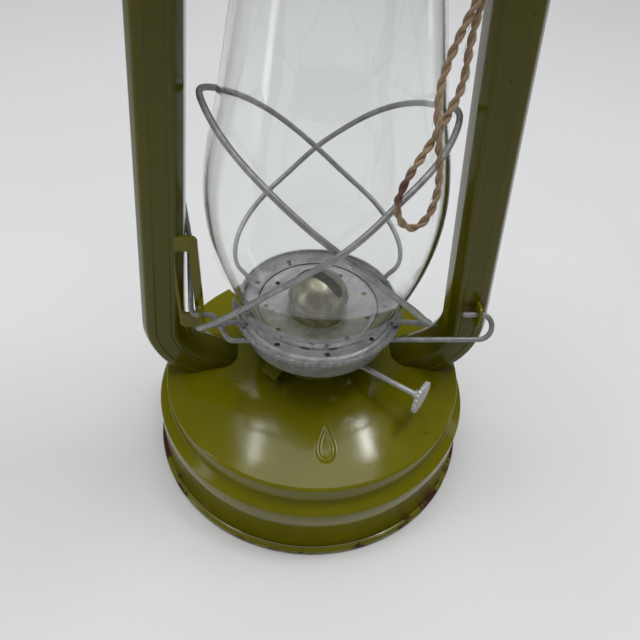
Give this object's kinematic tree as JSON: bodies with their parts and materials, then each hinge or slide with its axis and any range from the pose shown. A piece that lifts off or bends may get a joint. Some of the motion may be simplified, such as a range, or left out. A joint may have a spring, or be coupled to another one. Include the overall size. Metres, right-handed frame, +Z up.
{
  "type": "kerosene hurricane lantern",
  "caption": "Tubular kerosene lantern: round fuel tank, side air tubes, wire-guarded glass globe on a lift lever, wick burner, sprung hood and wire bail.",
  "frame": {"origin": "on the floor under the middle of the round tank", "axes": "+Z up, the front faces -Y, side tubes and lever pivots lie along X"},
  "size_m": [0.1456, 0.145, 0.3262],
  "materials": {
    "green_enamel": "gloss olive-green enamel over thin sheet steel, small chips and rust at the base edge",
    "galvanised": "dull spangled zinc",
    "zinc_brass": "dull tarnished brass",
    "steel_wire": "dull grey wire with brown spots",
    "clear_glass": "clear blown glass",
    "cork": "matt",
    "wick_cotton": "woven cotton",
    "jute": "rough two-ply twine"
  },
  "bodies": {
    "root": {"tank_bottom": "green_enamel", "tank_shell": "green_enamel", "burner_collar": "green_enamel", "filler_neck": "green_enamel", "burner_base": "galvanised", "wick_tube": "galvanised", "burner_cone": "zinc_brass", "shaft_sleeve": "galvanised", "left_air_tube": "green_enamel", "right_air_tube": "green_enamel", "crown": "green_enamel", "left_bail_ear": "green_enamel", "right_bail_ear": "green_enamel", "lever_bracket": "green_enamel", "pivot_lug": "green_enamel", "burner_clip": "green_enamel", "twine": "jute", "twine_tie": "jute"},
    "lift_lever": {"lift_wire": "steel_wire"},
    "globe_carrier": {"globe_plate": "galvanised", "plate_rim": "galvanised", "globe": "clear_glass", "left_guard_wire": "steel_wire", "right_guard_wire": "steel_wire", "globe_holder": "galvanised"},
    "hood": {"chimney_tube": "galvanised", "chimney_band": "green_enamel", "hood_cap": "green_enamel", "ring_eye": "steel_wire", "hood_spring": "steel_wire"},
    "hood_ring": {"lift_ring": "steel_wire"},
    "wick_spindle": {"wick_shaft": "galvanised", "spur_wheels": "galvanised", "wick_knob": "galvanised"},
    "wick": {"wick": "wick_cotton"},
    "filler_seal": {"filler_gasket": "cork"},
    "filler_cap": {"filler_cap": "green_enamel"},
    "bail": {"bail": "steel_wire"}
  },
  "joints": [
    {"name": "lift_lever", "type": "hinge", "parent": "root", "child": "lift_lever", "pos_m": [0, -0.012, 0.0844], "axis": [-1, 0, 0], "range_deg": [0, 65.5]},
    {"name": "globe_lift", "type": "slide", "parent": "root", "child": "globe_carrier", "axis": [0, 0, 1], "range_m": [0, 0.01018]},
    {"name": "hood_pull", "type": "slide", "parent": "globe_carrier", "child": "hood", "axis": [0, 0, 1], "range_m": [0, 0.01], "stiffness_N_per_m": 220, "springref_m": -0.012, "deforming": ["hood_spring"]},
    {"name": "hood_ring_hinge", "type": "hinge", "parent": "hood", "child": "hood_ring", "pos_m": [0, 0, 0.3238], "axis": [-1, 0, 0], "range_deg": [0, 90]},
    {"name": "wick_knob", "type": "hinge", "parent": "root", "child": "wick_spindle", "pos_m": [-0.00325, -0.00431, 0.0625], "axis": [0.7986, -0.6018, 0], "range_deg": [-100, 65]},
    {"name": "wick_travel", "type": "slide", "parent": "root", "child": "wick", "axis": [0, 0, 1], "range_m": [-0.0076, 0.005]},
    {"name": "cap_climb", "type": "slide", "parent": "root", "child": "filler_seal", "axis": [0, 0, 1], "range_m": [0, 0.0046]},
    {"name": "cap_turn", "type": "hinge", "parent": "filler_seal", "child": "filler_cap", "pos_m": [0, 0.043, 0.055], "axis": [0, 0, 1], "range_deg": [0, 540]},
    {"name": "bail_swing", "type": "hinge", "parent": "root", "child": "bail", "pos_m": [0, 0, 0.268], "axis": [1, 0, 0], "range_deg": [0, 215]}
  ],
  "couplings": [
    {"joint": "lift_lever", "follows": "globe_lift", "rad_per_m": 111.4},
    {"joint": "wick_travel", "follows": "wick_knob", "m_per_rad": 0.0042},
    {"joint": "cap_climb", "follows": "cap_turn", "m_per_rad": 0.00047746}
  ]
}
